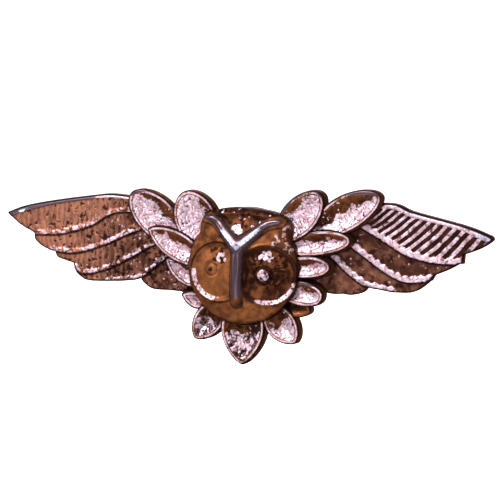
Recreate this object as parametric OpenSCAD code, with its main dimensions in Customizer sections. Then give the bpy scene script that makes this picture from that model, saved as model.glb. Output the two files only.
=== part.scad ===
// Winged owl lapel pin: a copper badge of three soldered layers, with a hinged
// pin and a rollover safety catch on its flat back.
// The badge stands upright. X runs across the wings, +Z is up and the face
// looks along -Y. The flat back of the wing plate lies in the plane y = 0.

/* [Wing plate] */
// Span of the wings, tip to tip
wing_span = 76; // [66:1:92]
// Thickness of the plate under the lowest row of feathers
plate_t = 1.2; // [1:0.1:2]
// Rise from each row of feathers to the row above it
feather_step = 0.2; // [0.1:0.05:0.3]
// Width of the raised edge along the bottom of each row
ridge_w = 1; // [0.6:0.1:1.4]
// Height of that raised edge above its row
ridge_h = 0.35; // [0.2:0.05:0.6]

/* [Petal ruff] */
// Size of the ruff of petals, as a multiple of its drawn size
ruff_size = 1; // [0.85:0.01:1.15]
// Height of the petals' rims above the plate they are soldered to
ruff_t = 2.8; // [2:0.1:3.6]
// Width of the raised rim round each petal
rim_w = 0.7; // [0.5:0.05:0.9]
// Depth of the hollow inside each rim
hollow_d = 0.9; // [0.5:0.1:1.4]
// Play round the ruff where it is let into the feathers
ruff_play = 0.05; // [0.03:0.01:0.1]
// How far the plate under the ruff stands back from the ruff's outline
plate_inset = 0.25; // [0.1:0.05:0.5]
// How far the plate's round middle reaches out beyond the head
core_lip = 0.5; // [0.4:0.05:0.6]
// Width of the ring in the middle of the ruff that the head sits on
seat_w = 2.6; // [2:0.1:4]

/* [Owl head] */
// Diameter of the head
head_d = 17.2; // [15:0.1:19]
// Height of the head's rim, below its dome
head_rim = 0.6; // [0.4:0.1:1]
// Rise of the dome above that rim
dome_h = 2.6; // [2:0.1:3.2]
// Thickness of the hollow head's wall
head_wall = 1.1; // [1:0.05:1.5]
// Height of the crown between the two halves of the brow
crown_h = 1.2; // [0.8:0.1:1.6]
// Diameter of each eye disc
eye_d = 9.4; // [8.6:0.1:9.6]
// Depth of each eye disc below the dome
eye_depth = 0.4; // [0.3:0.05:0.6]
// Width of the beak
beak_w = 2.2; // [1.6:0.1:2.6]
// Width of the brow at its two outer ends
brow_end_w = 0.9; // [0.8:0.1:1.6]

/* [Findings on the back] */
// Distance from the middle of the badge to the hinge
hinge_x = 21; // [19:0.5:23]
// Distance from the middle of the badge to the catch
catch_x = 21; // [19:0.5:23]
// Height of the pin above the middle of the badge
pin_z = 4; // [3:0.5:5]
// Distance from the back of the plate to the middle of the pin
pin_off = 3; // [2.8:0.1:3.6]
// Margin of each round foot outside what stands on it
foot_lip = 0.75; // [0.5:0.05:1]
// Thickness of each foot
foot_t = 0.6; // [0.5:0.05:0.8]
// Depth of the round seats that the feet are soldered into
seat_depth = 0.3; // [0.2:0.05:0.4]

/* [Hinge and pin] */
// Diameter of the pin
needle_d = 1; // [0.8:0.05:1.2]
// Reach of the pin's point past the middle of the catch
tip_past = 4; // [3.5:0.1:5]
// Distance from the catch back to where the pin starts to taper
taper_back = 5; // [3:0.5:10]
// Length of the pin's sharpened point
point_l = 2; // [1.5:0.1:2]
// How much thinner the pin is where its point begins
taper = 0.15; // [0:0.05:0.3]
// Diameter of the hinge's rivet
rivet_d = 1; // [0.8:0.05:1.2]
// Play round the rivet in the pin's eye
rivet_play = 0.05; // [0.02:0.01:0.1]
// Wall of the eye at the end of the pin
knuckle_wall = 0.7; // [0.5:0.05:0.8]
// Thickness of that eye
knuckle_t = 1.8; // [1.4:0.1:2.2]
// Play on each side of the eye between the hinge's ears
ear_play = 0.1; // [0.05:0.01:0.15]
// Thickness of each ear
ear_t = 0.6; // [0.5:0.05:0.7]
// Wall of each ear round the rivet
ear_wall = 0.7; // [0.5:0.05:0.9]
// Height of each rivet head
rivet_head_h = 0.4; // [0.3:0.05:0.5]
// How far each rivet head stands out round the rivet
rivet_lip = 0.35; // [0.25:0.05:0.45]

/* [Safety catch] */
// Play round the pin in the catch
needle_play = 0.2; // [0.15:0.05:0.25]
// Play on each side of the pin in the slots that let it in
slot_play = 0.12; // [0.1:0.01:0.15]
// Wall of the turning sleeve
sleeve_wall = 0.45; // [0.4:0.05:0.5]
// Play between the sleeve and the two collars
sleeve_play = 0.08; // [0.04:0.01:0.1]
// Wall of the collars
collar_wall = 0.65; // [0.5:0.05:0.75]
// Length of each collar along the pin
collar_l = 0.9; // [0.7:0.05:1]
// Length of the turning ring between the collars
ring_l = 1.5; // [1.3:0.1:1.7]
// Play on each side of the ring
ring_play = 0.1; // [0.05:0.01:0.15]
// Reach of the lever from the middle of the catch
lever_reach = 3; // [2.6:0.1:3.4]
// Thickness of the lever
lever_t = 0.8; // [0.6:0.05:1]
// Angle from the slot to the lever, in degrees
lever_angle = 65; // [60:5:75]

/* [Hidden] */
$fn = 48;
EPS = 0.01;
FAR = 20;               // longer than anything that is cut

copper = [0.72, 0.45, 0.32];
dark_copper = [0.55, 0.33, 0.22];
gunmetal = [0.42, 0.36, 0.38];
steel = [0.7, 0.7, 0.72];
brass = [0.78, 0.63, 0.35];

// Each row of feathers has a rounded outer end, then a lower edge that runs
// inwards under the ruff. Points are [x, z]. The lead is the wing's top edge.
left_lead = [[-10, 8], [-20, 9.6], [-25.4, 9.2], [-34.2, 7.6], [-38, 6.2]];
left_rows = [
    [[[-38, 6.2], [-37, 5.2], [-35.5, 4.1], [-33.7, 3.2]],
     [[-33.5, 3], [-29.5, 3.2], [-24.8, 4.6], [-20.3, 6.9], [-11, 6.5]]],
    [[[-33.7, 3.5], [-33.6, 2.2], [-32.5, 1.2], [-31.1, 0.6]],
     [[-30.7, 0.5], [-27, 0.4], [-22.3, 1.9], [-18.5, 3.7], [-10, 7]]],
    [[[-30.6, 1], [-30.1, -0.3], [-28.9, -0.8], [-27.5, -1.2]],
     [[-27.2, -1.9], [-25.7, -2.8], [-21.8, -1.8], [-17.9, 0.3], [-8, 6]]],
    [[[-27.5, -1.9], [-26.8, -2.9], [-25.2, -3.8], [-21.9, -3.8]],
     [[-21.9, -3.8], [-19, -3.6], [-16.7, -3], [-13, 0], [-6, 5]]],
    [[[-17, -2.9], [-16.4, -3.8], [-14.9, -4.7], [-12.4, -4.8]],
     [[-12.4, -4.8], [-10.6, -4.9], [-8, -5], [-4, 4]]]
];
right_lead = [[10, 8], [21.3, 10], [26, 8.8], [34, 7], [38, 5.6]];
right_rows = [
    [[[38, 5.6], [38.2, 4.9], [36.3, 3.6], [33.8, 2.6]],
     [[33.7, 1.2], [29.6, 1.1], [24.9, 2.1], [20.6, 4.5], [14, 8]]],
    [[[33.9, 2.8], [33.3, 1.4], [31.4, 0.2], [29.3, -0.7]],
     [[28.8, -1.6], [25, -2], [21.8, -0.8], [17.8, 1.9], [10, 7]]],
    [[[29.4, -0.4], [28.1, -2.1], [25.8, -3.5], [22.4, -3.6]],
     [[22.4, -3.6], [20.6, -3.3], [18.6, -2.9], [15.5, -0.9], [8, 6]]],
    [[[19.2, -2.6], [18.2, -3.8], [16.4, -4.3], [15, -4.2]],
     [[15, -4.2], [12.8, -4.2], [9, -3], [4, 4]]]
];
WING_ROOT = 18;         // inside this a wing keeps its shape when the span changes
DRAWN_SPAN = 76;        // the span at which the points above were chosen
DRAWN_HEAD = 17.2;      // the head's diameter at which its points below were chosen

// Each petal: root x, root z, tip x, tip z, half width, sideways bow of its
// middle, how far out it is widest and how pointed it is (0.5 is round).
petals = [
    [-9.1, 2.1, -18.2, 10.1, 3.1, 0, 1.15, 0.5],
    [-5.2, 1.2, -9.9, 10.6, 3.4, 0, 1.2, 0.5],
    [-5.6, -0.5, -15.3, 4.8, 2.3, 0, 1, 0.65],
    [-5, -4, -12.5, 0.2, 1.7, 0.3, 1.1, 0.7],
    [-4.5, -6.2, -9.9, -5.1, 1.3, 0.4, 1.1, 0.7],
    [-2.5, -5, -7.6, -11.8, 2.4, 0, 1.2, 0.6],
    [0.1, -5, 0, -15.5, 3.5, 0, 0.9, 0.65],
    [3, -5, 8.4, -11.9, 2.5, -0.2, 1.2, 0.6],
    [4, -5.2, 10.6, -7, 1.7, 0, 1.2, 0.6],
    [4, -3.4, 12.5, -4.8, 2, 0, 1.35, 0.4],
    [4, -0.4, 13.6, 0, 1.8, 0, 1.35, 0.4],
    [4, 2.4, 16.6, 4.2, 2, 0.1, 1.3, 0.42],
    [4.8, 3.4, 11.8, 11.2, 2.9, 0, 1.1, 0.5],
    [9.6, 4.3, 21, 11.2, 2.8, 0.3, 1.1, 0.5]
];
PETAL_STEPS = 10;       // points along each side of a petal
CURVE_STEPS = 4;        // points in each stretch of a feather's edge

rim_top = plate_t + ruff_t;             // height of the petals' rims
head_r = head_d / 2;
head_z = -0.6;                          // the head sits a little below the middle
dome_r = (head_r * head_r + dome_h * dome_h) / (2 * dome_h);
dome_centre = rim_top + head_rim + dome_h - dome_r;
cavity_r = head_r - head_wall;          // inside of the hollow head's rim
face = head_d / DRAWN_HEAD;
// Places on the face are [x, z] from the head's middle.
eyes = face * [[-3.4, -0.7], [4.1, -1]];
pupils = face * [[-4.7, -0.3], [3.7, -0.9]];
pupil_r = [0.8, 1.2];
crown_line = face * [[-7, 3], [-6.6, 7.2], [-4.4, 8.7], [0, 9.1], [5, 8.4], [7.2, 6.9], [7.6, 3]];
beak_line = face * [[-0.4, -5.1], [-0.3, 3.3]];       // the beak's end, and where the brow forks
brow_left = face * [[-2.3, 5.3], [-4.2, 7.1], [-6, 7.8]];
brow_right = face * [[1.6, 5], [3.6, 6.7], [5.8, 7.3]];

eye_bore_d = rivet_d + 2 * rivet_play;
knuckle_d = eye_bore_d + 2 * knuckle_wall;
ear_w = rivet_d + 2 * ear_wall;
ear_in = knuckle_t / 2 + ear_play;      // from the pin's middle to an ear
ear_out = ear_in + ear_t;
needle_l = hinge_x + catch_x + tip_past;
shank_l = hinge_x + catch_x - taper_back;

catch_bore_d = needle_d + 2 * needle_play;
slot_w = needle_d + 2 * slot_play;
sleeve_d = catch_bore_d + 2 * sleeve_wall;
collar_bore_d = sleeve_d + 2 * sleeve_play;
collar_d = collar_bore_d + 2 * collar_wall;
collar_in = ring_l / 2 + ring_play;     // from the catch's middle to a collar
sleeve_l = 2 * (collar_in + collar_l);
stand_w = collar_d - collar_wall;       // width of the block under each collar

foot_top = foot_t - seat_depth;         // how far a foot stands off the back
foot_d = 2 * foot_lip + 2 * max(norm([ear_w / 2, ear_out]), norm([sleeve_l / 2, stand_w / 2]));

// A smooth line through the points p.
function curve(p) =
    [for (i = [0 : len(p) - 2], k = [0 : CURVE_STEPS - 1])
        let (a = p[max(i - 1, 0)], b = p[i], c = p[i + 1],
             d = p[min(i + 2, len(p) - 1)], t = k / CURVE_STEPS)
        (2 * b + (c - a) * t + (2 * a - 5 * b + 4 * c - d) * t * t
         + (3 * b - a - 3 * c + d) * t * t * t) / 2,
     p[len(p) - 1]];

function backwards(p) = [for (i = [len(p) - 1 : -1 : 0]) p[i]];
function raised(p, by) = [for (q = p) q + [0, by]];

// Beyond the wing's root a point moves outwards with the span.
function spread(p) =
    let (k = (wing_span / 2 - WING_ROOT) / (DRAWN_SPAN / 2 - WING_ROOT))
    [for (q = p) let (out = abs(q[0]) - WING_ROOT)
        out > 0 ? [sign(q[0]) * (WING_ROOT + out * k), q[1]] : q];

// One long edge of a petal, s = 1 or -1, with the outline grown by g.
function petal_side(p, g, s) =
    let (root = ruff_size * [p[0], p[1]], tip = ruff_size * [p[2], p[3]],
         along = norm(tip - root), u = (tip - root) / along, v = [-u[1], u[0]])
    [for (i = [0 : PETAL_STEPS])
        let (t = (1 - cos(180 * i / PETAL_STEPS)) / 2,
             half = (ruff_size * p[4] + g) * pow(abs(sin(180 * pow(t, p[6]))), p[7]))
        root + ((along + 2 * g) * t - g) * u + (s * half + p[5] * sin(180 * t)) * v];

function petal_line(p, g) =
    let (far_side = petal_side(p, g, -1))
    concat(petal_side(p, g, 1), [for (i = [PETAL_STEPS - 1 : -1 : 1]) far_side[i]]);

// Stands a flat [x, z] drawing up between two heights in front of the back.
module upright(from, to) {
    rotate([90, 0, 0]) translate([0, 0, from]) linear_extrude(height = to - from) children();
}

// Puts a shape whose own +Z is its front at a place on the badge.
module facing(x, z, height) {
    translate([x, -height, z]) rotate([90, 0, 0]) children();
}

// ---- wing plate ----

// One wing: rows of feathers that step down from the leading edge.
module wing(lead, rows) {
    count = len(rows);
    for (i = [0 : count - 1]) {
        level = plate_t + (count - 1 - i) * feather_step;
        edge = curve(rows[i][1]);
        inner = edge[len(edge) - 1];
        top = i == 0 ? curve(lead) : [[inner[0], 7], [rows[i - 1][1][3][0], 7.5]];
        upright(0, level) polygon(spread(concat(curve(rows[i][0]), edge, top)));
        if (i < count - 1) ridge(rows[i][1], level);
    }
}

// The raised edge along the bottom of a row.
module ridge(edge, level) {
    line = curve(edge);
    upright(level - feather_step, level + ridge_h)
        polygon(spread(concat(line, backwards(raised(line, ridge_w)))));
}

module ruff_outline(g) {
    for (p = petals) polygon(petal_line(p, g));
    translate([0, head_z]) head_outline(g);
}

module foot_seat(x) {
    translate([x, -seat_depth, pin_z]) rotate([-90, 0, 0]) cylinder(d = foot_d, h = FAR);
}

module wing_plate() {
    color(copper) difference() {
        union() {
            wing(left_lead, left_rows);
            wing(right_lead, right_rows);
            upright(0, plate_t) {
                ruff_outline(-plate_inset);
                translate([0, head_z]) circle(d = head_d + 2 * core_lip);
            }
        }
        upright(plate_t, FAR) ruff_outline(ruff_play);
        foot_seat(-hinge_x);
        foot_seat(catch_x);
    }
}

// ---- petal ruff ----

module petal(p) {
    difference() {
        upright(plate_t, rim_top) polygon(petal_line(p, 0));
        upright(rim_top - hollow_d, FAR) polygon(petal_line(p, -rim_w));
    }
}

module petal_ruff() {
    color(dark_copper) difference() {
        union() {
            for (p = petals) petal(p);
            upright(plate_t, rim_top) translate([0, head_z]) head_outline(0);
        }
        facing(0, head_z, 0) cylinder(d = head_d - 2 * seat_w, h = FAR);
    }
}

// ---- owl head ----

// The head's outline: round, with a flatter crown over the brow.
module head_outline(g) {
    circle(d = head_d + 2 * g);
    polygon(curve([for (q = crown_line) q * (1 + g / head_r)]));
}

// Height of the dome's surface at a distance out from the head's middle.
function dome_at(out) = dome_centre + sqrt(dome_r * dome_r - out * out);
// Height of the face at a point: the dome, or the crown where that is higher.
function face_at(p) = max(dome_at(norm(p)), rim_top + crown_h);

module dome(inset) {
    rotate_extrude() intersection() {
        translate([0, dome_centre]) circle(r = dome_r - inset, $fn = 160);
        translate([0, rim_top - (inset > 0 ? 1 : 0)]) square([head_r - inset, FAR]);
    }
}

module eye_hollow(at) {
    lean = asin(norm(at) / dome_r);
    turn = atan2(at[1], at[0]);
    translate([0, 0, dome_centre]) difference() {
        rotate([0, 0, turn]) rotate([0, lean, 0])
            translate([0, 0, dome_r / 2]) cylinder(d = eye_d, h = FAR);
        sphere(r = dome_r - eye_depth, $fn = 160);
    }
}

// One stretch of the brow or beak, thinning from width a to width b.
module brow_part(from, to, a, b) {
    hull() {
        translate([from[0], from[1], face_at(from)]) sphere(d = a, $fn = 20);
        translate([to[0], to[1], face_at(to)]) sphere(d = b, $fn = 20);
    }
}

module brow(line) {
    fork = beak_line[1];
    mid_w = (beak_w + brow_end_w) / 2;
    brow_part(fork, line[0], beak_w, mid_w + 0.2);
    brow_part(line[0], line[1], mid_w + 0.2, mid_w);
    brow_part(line[1], line[2], mid_w, brow_end_w);
}

module owl_head() {
    color(gunmetal) facing(0, head_z, 0) {
        difference() {
            union() {
                dome(0);
                translate([0, 0, rim_top]) linear_extrude(height = crown_h) head_outline(0);
            }
            for (e = eyes) eye_hollow(e);
            dome(head_wall);
        }
        for (i = [0, 1])
            translate([pupils[i][0], pupils[i][1], dome_at(norm(pupils[i])) - eye_depth])
                sphere(r = pupil_r[i]);
        brow_part(beak_line[0], beak_line[1], beak_w, beak_w);
        brow(brow_left);
        brow(brow_right);
    }
}

// ---- hinge ----

module foot(x) {
    translate([x, -seat_depth, pin_z]) rotate([-90, 0, 0]) cylinder(d = foot_d, h = foot_t);
}

// One ear: a plate with a round top, drilled for the rivet.
module ear(z) {
    translate([-hinge_x, 0, z]) linear_extrude(height = ear_t) difference() {
        union() {
            translate([0, pin_off]) circle(d = ear_w);
            translate([-ear_w / 2, foot_top - EPS]) square([ear_w, pin_off - foot_top + EPS]);
        }
        translate([0, pin_off]) circle(d = rivet_d);
    }
}

module hinge_bracket() {
    color(brass) union() {
        foot(-hinge_x);
        ear(pin_z + ear_in);
        ear(pin_z - ear_out);
    }
}

module hinge_rivet() {
    color(steel) translate([-hinge_x, pin_off, pin_z]) {
        translate([0, 0, -ear_out]) cylinder(d = rivet_d, h = 2 * ear_out);
        for (s = [0, 180]) rotate([s, 0, 0])
            translate([0, 0, ear_out]) cylinder(d = rivet_d + 2 * rivet_lip, h = rivet_head_h);
    }
}

// ---- pin ----

module pin_stem() {
    color(steel) translate([-hinge_x, pin_off, pin_z]) difference() {
        union() {
            translate([0, 0, -knuckle_t / 2]) cylinder(d = knuckle_d, h = knuckle_t);
            rotate([0, 90, 0]) rotate_extrude()
                polygon([[0, 0], [needle_d / 2, 0], [needle_d / 2, shank_l],
                         [(needle_d - taper) / 2, needle_l - point_l], [0, needle_l]]);
        }
        translate([0, 0, -FAR / 2]) cylinder(d = eye_bore_d, h = FAR);
    }
}

// ---- safety catch ----

// Lays a shape along the pin at the catch, its own +Y still facing outwards.
module at_catch(along) {
    translate([catch_x + along, pin_off, pin_z]) rotate([0, 90, 0]) children();
}

module collar() {
    difference() {
        union() {
            circle(d = collar_d);
            translate([-stand_w / 2, foot_top - pin_off - EPS])
                square([stand_w, pin_off - foot_top]);
        }
        circle(d = collar_bore_d);
        translate([-slot_w / 2, 0]) square([slot_w, FAR]);
    }
}

module catch_body() {
    color(brass) union() {
        foot(catch_x);
        for (x = [collar_in, -collar_in - collar_l])
            at_catch(x) linear_extrude(height = collar_l) collar();
    }
}

module catch_rotor() {
    color(brass) difference() {
        union() {
            at_catch(-sleeve_l / 2) cylinder(d = sleeve_d, h = sleeve_l);
            at_catch(-ring_l / 2) cylinder(d = collar_d, h = ring_l);
            at_catch(-ring_l / 2) rotate([0, 0, -lever_angle])
                translate([-lever_t / 2, 0, 0]) cube([lever_t, lever_reach, ring_l]);
        }
        at_catch(-FAR / 2) cylinder(d = catch_bore_d, h = FAR);
        at_catch(-FAR / 2) translate([-slot_w / 2, 0, 0]) cube([slot_w, FAR, FAR]);
    }
}

wing_plate();
petal_ruff();
owl_head();
hinge_bracket();
hinge_rivet();
pin_stem();
catch_body();
catch_rotor();
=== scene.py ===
import math

import bmesh
import bpy
import numpy as np
from mathutils import Matrix, Vector
from mathutils.geometry import delaunay_2d_cdt


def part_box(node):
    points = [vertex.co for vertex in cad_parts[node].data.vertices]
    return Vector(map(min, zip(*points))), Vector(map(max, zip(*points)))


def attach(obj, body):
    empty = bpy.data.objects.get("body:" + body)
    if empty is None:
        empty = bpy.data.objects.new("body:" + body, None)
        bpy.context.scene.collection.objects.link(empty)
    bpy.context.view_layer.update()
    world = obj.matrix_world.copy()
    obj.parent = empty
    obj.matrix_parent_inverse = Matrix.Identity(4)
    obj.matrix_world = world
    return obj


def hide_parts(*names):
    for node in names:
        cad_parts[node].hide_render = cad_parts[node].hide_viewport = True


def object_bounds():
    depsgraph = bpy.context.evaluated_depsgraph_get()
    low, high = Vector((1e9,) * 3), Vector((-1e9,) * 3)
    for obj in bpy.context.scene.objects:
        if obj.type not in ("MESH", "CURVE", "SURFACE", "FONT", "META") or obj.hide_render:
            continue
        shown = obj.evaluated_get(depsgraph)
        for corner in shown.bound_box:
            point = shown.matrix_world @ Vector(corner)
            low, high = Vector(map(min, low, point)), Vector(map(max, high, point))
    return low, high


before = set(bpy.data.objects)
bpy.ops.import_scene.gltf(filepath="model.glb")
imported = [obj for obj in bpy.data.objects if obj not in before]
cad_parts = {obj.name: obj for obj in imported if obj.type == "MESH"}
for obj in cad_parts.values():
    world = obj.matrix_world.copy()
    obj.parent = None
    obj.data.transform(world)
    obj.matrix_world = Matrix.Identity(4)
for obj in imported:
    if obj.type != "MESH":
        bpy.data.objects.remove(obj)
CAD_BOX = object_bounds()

# Looks of the winged owl lapel pin. The badge stands upright: X runs across the
# wings, +Z is up and the face looks along -Y. The reliefs are worked out in
# millimetres, as heights in front of the flat back, and built in metres.
MM = 0.001

# ---- sizes taken from the frame, in millimetres ----


def front_heights(node):
    """How far a node's back and front stand in front of the badge's flat back."""
    low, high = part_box(node)
    return -high[1] / MM, -low[1] / MM


WING_TOP = front_heights("wing_plate")[1]
PLATE_T, RIM_TOP = front_heights("petal_ruff")
HEAD_TOP = front_heights("owl_head")[1]
FOOT_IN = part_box("hinge_bracket")[0][1] / MM          # how deep a foot sits in the plate
FEET = [tuple((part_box(n)[0][a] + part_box(n)[1][a]) / 2 / MM for a in (0, 2))
        for n in ("hinge_bracket", "catch_body")]
FOOT_R = (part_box("hinge_bracket")[1][0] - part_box("hinge_bracket")[0][0]) / 2 / MM

# ---- the drawing, point for point the CAD model's, in millimetres ----

FEATHER_STEP = 0.2
RIDGE_W = 1.0
RIDGE_H = 0.35
HEAD_R = 8.6
HEAD_AT = (0, -0.6)
DOME_H = 2.6
HEAD_RIM = 0.6
CROWN_H = 1.2
EYE_R = 4.7
EYE_DEPTH = 0.4
RUFF_HOLE_R = 6.0
HEAD_WALL = 1.1

LEFT_LEAD = [[-10, 8], [-20, 9.6], [-25.4, 9.2], [-34.2, 7.6], [-38, 6.2]]
LEFT_ROWS = [
    [[[-38, 6.2], [-37, 5.2], [-35.5, 4.1], [-33.7, 3.2]],
     [[-33.5, 3], [-29.5, 3.2], [-24.8, 4.6], [-20.3, 6.9], [-11, 6.5]]],
    [[[-33.7, 3.5], [-33.6, 2.2], [-32.5, 1.2], [-31.1, 0.6]],
     [[-30.7, 0.5], [-27, 0.4], [-22.3, 1.9], [-18.5, 3.7], [-10, 7]]],
    [[[-30.6, 1], [-30.1, -0.3], [-28.9, -0.8], [-27.5, -1.2]],
     [[-27.2, -1.9], [-25.7, -2.8], [-21.8, -1.8], [-17.9, 0.3], [-8, 6]]],
    [[[-27.5, -1.9], [-26.8, -2.9], [-25.2, -3.8], [-21.9, -3.8]],
     [[-21.9, -3.8], [-19, -3.6], [-16.7, -3], [-13, 0], [-6, 5]]],
    [[[-17, -2.9], [-16.4, -3.8], [-14.9, -4.7], [-12.4, -4.8]],
     [[-12.4, -4.8], [-10.6, -4.9], [-8, -5], [-4, 4]]],
]
RIGHT_LEAD = [[10, 8], [21.3, 10], [26, 8.8], [34, 7], [38, 5.6]]
RIGHT_ROWS = [
    [[[38, 5.6], [38.2, 4.9], [36.3, 3.6], [33.8, 2.6]],
     [[33.7, 1.2], [29.6, 1.1], [24.9, 2.1], [20.6, 4.5], [14, 8]]],
    [[[33.9, 2.8], [33.3, 1.4], [31.4, 0.2], [29.3, -0.7]],
     [[28.8, -1.6], [25, -2], [21.8, -0.8], [17.8, 1.9], [10, 7]]],
    [[[29.4, -0.4], [28.1, -2.1], [25.8, -3.5], [22.4, -3.6]],
     [[22.4, -3.6], [20.6, -3.3], [18.6, -2.9], [15.5, -0.9], [8, 6]]],
    [[[19.2, -2.6], [18.2, -3.8], [16.4, -4.3], [15, -4.2]],
     [[15, -4.2], [12.8, -4.2], [9, -3], [4, 4]]],
]

# Each petal: root x, root z, tip x, tip z, half width, sideways bow, how far
# out it is widest and how pointed it is, then its layer: 0 lies at the back.
PETALS = [
    [-9.1, 2.1, -18.2, 10.1, 3.1, 0, 1.15, 0.5, 0],
    [-5.2, 1.2, -9.9, 10.6, 3.4, 0, 1.2, 0.5, 1],
    [-5.6, -0.5, -15.3, 4.8, 2.3, 0, 1, 0.65, 2],
    [-5, -4, -12.5, 0.2, 1.7, 0.3, 1.1, 0.7, 1],
    [-4.5, -6.2, -9.9, -5.1, 1.3, 0.4, 1.1, 0.7, 0],
    [-2.5, -5, -7.6, -11.8, 2.4, 0, 1.2, 0.6, 1],
    [0.1, -5, 0, -15.5, 3.5, 0, 0.9, 0.65, 2],
    [3, -5, 8.4, -11.9, 2.5, -0.2, 1.2, 0.6, 1],
    [4, -5.2, 10.6, -7, 1.7, 0, 1.2, 0.6, 0],
    [4, -3.4, 12.5, -4.8, 2, 0, 1.35, 0.4, 1],
    [4, -0.4, 13.6, 0, 1.8, 0, 1.35, 0.4, 2],
    [4, 2.4, 16.6, 4.2, 2, 0.1, 1.3, 0.42, 1],
    [4.8, 3.4, 11.8, 11.2, 2.9, 0, 1.1, 0.5, 2],
    [9.6, 4.3, 21, 11.2, 2.8, 0.3, 1.1, 0.5, 0],
]

# Places on the face are [x, z] from the head's middle.
EYES = [[-3.4, -0.7], [4.1, -1]]
PUPILS = [[-4.7, -0.3], [3.7, -0.9]]
PUPIL_R = [0.8, 1.2]
CROWN_LINE = [[-7, 3], [-6.6, 7.2], [-4.4, 8.7], [0, 9.1], [5, 8.4], [7.2, 6.9], [7.6, 3]]
BEAK_LINE = [[-0.4, -5.1], [-0.3, 3.3]]
BROW_LINES = [[[-0.3, 3.3], [-2.3, 5.3], [-4.2, 7.1], [-6, 7.8]],
              [[-0.3, 3.3], [1.6, 5], [3.6, 6.7], [5.8, 7.3]]]

# ---- curves, distances and noise ----

CURVE_STEPS = 10        # points in each stretch of a curve
PETAL_STEPS = 26        # points along each side of a petal
FAR = 9.0               # said of a point that is well outside a line
# The marks: bright is worn metal and painted highlight; dark is pits, patina and painted shade; steel
# colours polished rolls and crests gunmetal and silver, dark patina with a painted reflection; amber is
# the copper's own tone.
MARKS = ("bright", "dark", "steel", "amber")


def curve(points, steps=CURVE_STEPS):
    """A smooth line through the points."""
    p = np.array([points[0]] + list(points) + [points[-1]], float)
    t = (np.arange(steps) / steps)[:, None]
    line = []
    for a, b, c, d in zip(p, p[1:], p[2:], p[3:]):
        line.append((2 * b + (c - a) * t + (2 * a - 5 * b + 4 * c - d) * t ** 2
                     + (3 * b - a - 3 * c + d) * t ** 3) / 2)
    return np.vstack(line + [p[-1:]])


def petal_line(petal, grow=0.0):
    """The closed outline of a petal, drawn as the CAD model draws it."""
    root, tip = np.array(petal[0:2], float), np.array(petal[2:4], float)
    half_w, bow, belly, sharp = petal[4:8]
    along = np.linalg.norm(tip - root)
    u = (tip - root) / along
    v = np.array([-u[1], u[0]])
    t = ((1 - np.cos(np.linspace(0, math.pi, PETAL_STEPS))) / 2)[:, None]
    half = (half_w + grow) * np.abs(np.sin(math.pi * t ** belly)) ** sharp
    middle = root + ((along + 2 * grow) * t - grow) * u + bow * np.sin(math.pi * t) * v
    return np.vstack([middle + half * v, (middle - half * v)[-2:0:-1]])


def nearest(x, z, line, closed=True):
    """Distance to a line, with the unit direction towards it and the place along it.

    Inside a closed line the distance is above zero, outside it is below."""
    ends = np.roll(line, -1, axis=0) if closed else line[1:]
    best = np.full(x.shape, FAR ** 2)
    to_x, to_z, place = np.zeros(x.shape), np.zeros(x.shape), np.zeros(x.shape)
    inside = np.zeros(x.shape, bool)
    start = 0.0
    for (ax, az), (bx, bz) in zip(line, ends):
        dx, dz = bx - ax, bz - az
        length = math.hypot(dx, dz)
        if length == 0:
            continue
        t = np.clip(((x - ax) * dx + (z - az) * dz) / length ** 2, 0, 1)
        off_x, off_z = ax + t * dx - x, az + t * dz - z
        gap = off_x ** 2 + off_z ** 2
        nearer = gap < best
        best = np.where(nearer, gap, best)
        to_x, to_z = np.where(nearer, off_x, to_x), np.where(nearer, off_z, to_z)
        place = np.where(nearer, start + t * length, place)
        start += length
        if dz != 0:
            inside ^= ((az > z) != (bz > z)) & (x < dx * (z - az) / dz + ax)
    away = np.sqrt(best)
    scale = 1 / np.maximum(away, 1e-9)
    if closed:
        away = np.where(inside, away, -away)
        scale = np.where(inside, -scale, scale)
    return away, to_x * scale, to_z * scale, place


def inside_by(x, z, line):
    """How far points lie inside a closed line and the direction inwards, worked out near it."""
    margin = 1.5
    close = ((x > line[:, 0].min() - margin) & (x < line[:, 0].max() + margin)
             & (z > line[:, 1].min() - margin) & (z < line[:, 1].max() + margin))
    depth, in_x, in_z = np.full(x.shape, -FAR), np.zeros(x.shape), np.zeros(x.shape)
    depth[close], in_x[close], in_z[close], _ = nearest(x[close], z[close], line)
    return depth, in_x, in_z


def deepest(x, z, lines):
    """The same for the union of several closed lines."""
    depth, in_x, in_z = inside_by(x, z, lines[0])
    for line in lines[1:]:
        other = inside_by(x, z, line)
        deeper = other[0] > depth
        depth = np.where(deeper, other[0], depth)
        in_x, in_z = np.where(deeper, other[1], in_x), np.where(deeper, other[2], in_z)
    return depth, in_x, in_z


def ramp(value, low, high):
    """Goes smoothly from 0 at low to 1 at high."""
    t = np.clip((value - low) / (high - low), 0, 1)
    return t * t * (3 - 2 * t)


def bead(across, width):
    """A round profile over a width, from 0 at its edges to 1 in the middle."""
    t = np.clip(2 * across / width - 1, -1, 1)
    return np.sqrt(1 - t * t)


def noise(x, z, size, seed):
    """Smooth random values from -1 to 1, with bumps about size wide."""
    count = 256
    table = np.random.default_rng(seed).uniform(-1, 1, (count, count))
    turned = 0.6 + seed
    u = (x * math.cos(turned) - z * math.sin(turned)) / size
    v = (x * math.sin(turned) + z * math.cos(turned)) / size
    i, j = np.floor(u).astype(int), np.floor(v).astype(int)
    s, t = ramp(u - i, 0, 1), ramp(v - j, 0, 1)
    rows = [table[i % count, (j + k) % count] * (1 - s) + table[(i + 1) % count, (j + k) % count] * s
            for k in (0, 1)]
    return rows[0] * (1 - t) + rows[1] * t


def rough(x, z, size, seed):
    """Noise with a finer noise on top of it."""
    return 0.65 * noise(x, z, size, seed) + 0.35 * noise(x, z, size / 2, seed + 50)


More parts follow.
